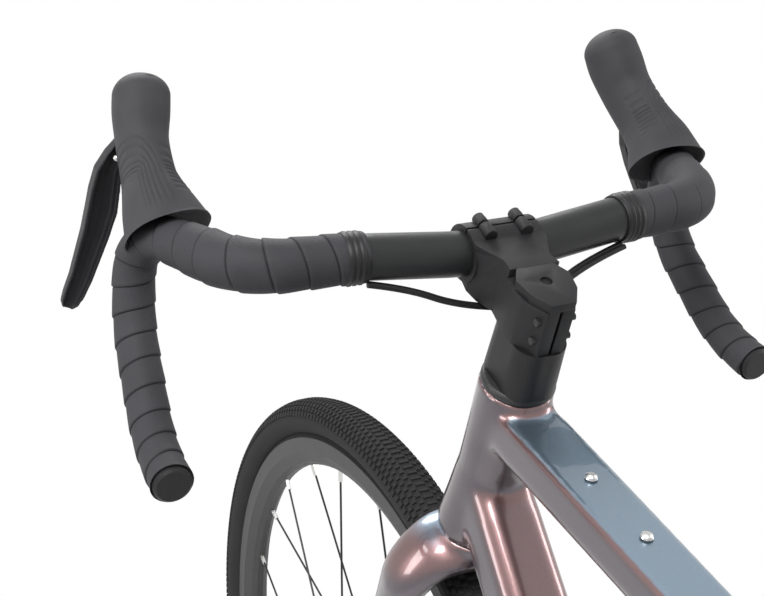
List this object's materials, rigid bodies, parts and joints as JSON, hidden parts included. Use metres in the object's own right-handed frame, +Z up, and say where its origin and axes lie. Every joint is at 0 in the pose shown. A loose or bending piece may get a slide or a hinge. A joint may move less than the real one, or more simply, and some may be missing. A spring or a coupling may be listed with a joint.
{
  "type": "gravel bike",
  "caption": "Drop-bar gravel bike with disc brakes, knobby tyres, a single-ring drive, turning wheels, steering, levers and cranks.",
  "frame": {"origin": "on the ground midway between the two wheel contacts, at the middle of the overall box", "axes": "+X forward, +Y to the rider's left, +Z up"},
  "size_m": [1.7349, 0.5256, 1.0336],
  "materials": {
    "frame_paint": "metallic clear coat",
    "black_alloy": "matte black",
    "black_plastic": "fine texture",
    "tape": "soft wrap",
    "hood_rubber": "matte",
    "tyre_rubber": "knobby",
    "rim_black": "matte",
    "spoke_black": "black",
    "steel": "bright",
    "pad": "pad",
    "saddle_cover": "smooth",
    "lever_grey": "satin"
  },
  "bodies": {
    "frame": {"head_tube": "frame_paint", "top_tube": "frame_paint", "down_tube": "frame_paint", "seat_tube": "frame_paint", "bottom_bracket_shell": "frame_paint", "rear_stays": "frame_paint", "dropouts": "frame_paint", "seat_clamp": "black_alloy", "frame_bearings": "steel", "rear_axle": "steel", "rear_caliper": "black_alloy", "top_tube_bolts": "steel", "chain": "steel", "derailleur_base": "black_alloy"},
    "seat": {"seatpost": "black_alloy", "saddle_clamp": "black_alloy", "saddle_rails": "steel", "saddle": "saddle_cover"},
    "steering": {"fork": "frame_paint", "headset_cover": "black_alloy", "stem_spacers": "black_alloy", "stem": "black_alloy", "stem_faceplate": "black_alloy", "stem_bolts": "steel", "stem_cap": "black_alloy", "handlebar": "black_alloy", "bar_tape": "tape", "bar_end_plugs": "black_plastic", "hoods": "hood_rubber", "lever_brackets": "black_alloy", "brake_hoses": "black_plastic", "front_caliper": "black_alloy", "front_axle": "steel"},
    "front_wheel": {"front_rim": "rim_black", "front_tyre": "tyre_rubber", "front_spokes": "spoke_black", "front_hub": "black_alloy", "front_rotor": "steel"},
    "rear_wheel": {"rear_rim": "rim_black", "rear_tyre": "tyre_rubber", "rear_spokes": "spoke_black", "rear_hub": "black_alloy", "rear_rotor": "steel"},
    "cassette": {"cassette": "steel"},
    "crank": {"crank_arms": "black_alloy", "chainring": "black_alloy"},
    "pedal_left": {"pedal_left": "black_alloy"},
    "pedal_right": {"pedal_right": "black_alloy"},
    "lever_left": {"brake_lever_left": "lever_grey"},
    "lever_right": {"brake_lever_right": "lever_grey"},
    "paddle": {"shift_paddle": "lever_grey"},
    "front_pad_left": {"front_pad_left": "pad"},
    "front_pad_right": {"front_pad_right": "pad"},
    "rear_pad_left": {"rear_pad_left": "pad"},
    "rear_pad_right": {"rear_pad_right": "pad"},
    "mech_link": {"derailleur_link": "black_alloy"},
    "mech_knuckle": {"derailleur_knuckle": "black_alloy"},
    "mech_cage": {"derailleur_cage": "black_alloy"},
    "jockey_upper": {"jockey_upper": "black_plastic"},
    "jockey_lower": {"jockey_lower": "black_plastic"}
  },
  "joints": [
    {"name": "steering", "type": "hinge", "parent": "frame", "child": "steering", "pos_m": [0.29676, 0, 0.84318], "axis": [-0.3256, 0, 0.9455], "range_deg": [-60, 60]},
    {"name": "front_wheel_spin", "type": "hinge", "parent": "steering", "child": "front_wheel", "pos_m": [0.517, 0, 0.351], "axis": [0, 1, 0], "continuous": true},
    {"name": "rear_wheel_spin", "type": "hinge", "parent": "frame", "child": "rear_wheel", "pos_m": [-0.517, 0, 0.351], "axis": [0, 1, 0], "continuous": true},
    {"name": "crank_spin", "type": "hinge", "parent": "frame", "child": "crank", "pos_m": [-0.09307, 0, 0.279], "axis": [0, 1, 0], "continuous": true, "deforming": ["chain"]},
    {"name": "cassette_spin", "type": "hinge", "parent": "frame", "child": "cassette", "pos_m": [-0.517, 0, 0.351], "axis": [0, 1, 0], "continuous": true, "deforming": ["chain"]},
    {"name": "pedal_left_spin", "type": "hinge", "parent": "crank", "child": "pedal_left", "pos_m": [-0.26557, 0, 0.279], "axis": [0, 1, 0], "continuous": true},
    {"name": "pedal_right_spin", "type": "hinge", "parent": "crank", "child": "pedal_right", "pos_m": [0.07943, 0, 0.279], "axis": [0, 1, 0], "continuous": true},
    {"name": "brake_lever_left_pull", "type": "hinge", "parent": "steering", "child": "lever_left", "pos_m": [0.4919, 0.201, 0.97484], "axis": [0, 1, 0], "range_deg": [0, 22], "stiffness_Nm_per_rad": 0.05},
    {"name": "brake_lever_right_pull", "type": "hinge", "parent": "steering", "child": "lever_right", "pos_m": [0.4919, -0.201, 0.97484], "axis": [0, 1, 0], "range_deg": [0, 22], "stiffness_Nm_per_rad": 0.05},
    {"name": "shift_paddle_swing", "type": "hinge", "parent": "lever_right", "child": "paddle", "pos_m": [0.4988, -0.22116, 0.94092], "axis": [1, 0, 0], "range_deg": [0, 18], "stiffness_Nm_per_rad": 0.1},
    {"name": "front_pad_left_slide", "type": "slide", "parent": "steering", "child": "front_pad_left", "axis": [0, -1, 0], "range_m": [0, 0.00035]},
    {"name": "front_pad_right_slide", "type": "slide", "parent": "steering", "child": "front_pad_right", "axis": [0, 1, 0], "range_m": [0, 0.00035]},
    {"name": "rear_pad_left_slide", "type": "slide", "parent": "frame", "child": "rear_pad_left", "axis": [0, -1, 0], "range_m": [0, 0.00035]},
    {"name": "rear_pad_right_slide", "type": "slide", "parent": "frame", "child": "rear_pad_right", "axis": [0, 1, 0], "range_m": [0, 0.00035]},
    {"name": "derailleur_shift", "type": "hinge", "parent": "frame", "child": "mech_link", "pos_m": [-0.52362, -0.0865, 0.30537], "axis": [-0.9899, 0, -0.1414], "range_deg": [-16, 16], "deforming": ["chain"]},
    {"name": "derailleur_knuckle_turn", "type": "hinge", "parent": "mech_link", "child": "mech_knuckle", "pos_m": [-0.51559, -0.0611, 0.24912], "axis": [-0.9899, 0, -0.1414], "range_deg": [-16, 16], "deforming": ["chain"]},
    {"name": "derailleur_cage_swing", "type": "hinge", "parent": "mech_knuckle", "child": "mech_cage", "pos_m": [-0.513, -0.0455, 0.231], "axis": [0, 1, 0], "range_deg": [-20, 25], "stiffness_Nm_per_rad": 0.2, "deforming": ["chain"]},
    {"name": "jockey_upper_spin", "type": "hinge", "parent": "mech_cage", "child": "jockey_upper", "pos_m": [-0.513, -0.0455, 0.231], "axis": [0, 1, 0], "continuous": true, "deforming": ["chain"]},
    {"name": "jockey_lower_spin", "type": "hinge", "parent": "mech_cage", "child": "jockey_lower", "pos_m": [-0.47612, -0.0455, 0.15], "axis": [0, 1, 0], "continuous": true, "deforming": ["chain"]},
    {"name": "seatpost_slide", "type": "slide", "parent": "frame", "child": "seat", "axis": [-0.284, 0, 0.9588], "range_m": [-0.05, 0.03]}
  ],
  "couplings": [
    {"joint": "cassette_spin", "follows": "crank_spin", "ratio": 1.9048},
    {"joint": "jockey_upper_spin", "follows": "crank_spin", "ratio": -3.3333},
    {"joint": "jockey_lower_spin", "follows": "crank_spin", "ratio": 3.3333},
    {"joint": "derailleur_knuckle_turn", "follows": "derailleur_shift", "ratio": -1},
    {"joint": "front_pad_left_slide", "follows": "brake_lever_left_pull", "m_per_rad": 0.00091152},
    {"joint": "front_pad_right_slide", "follows": "brake_lever_left_pull", "m_per_rad": 0.00091152},
    {"joint": "rear_pad_left_slide", "follows": "brake_lever_right_pull", "m_per_rad": 0.00091152},
    {"joint": "rear_pad_right_slide", "follows": "brake_lever_right_pull", "m_per_rad": 0.00091152}
  ]
}
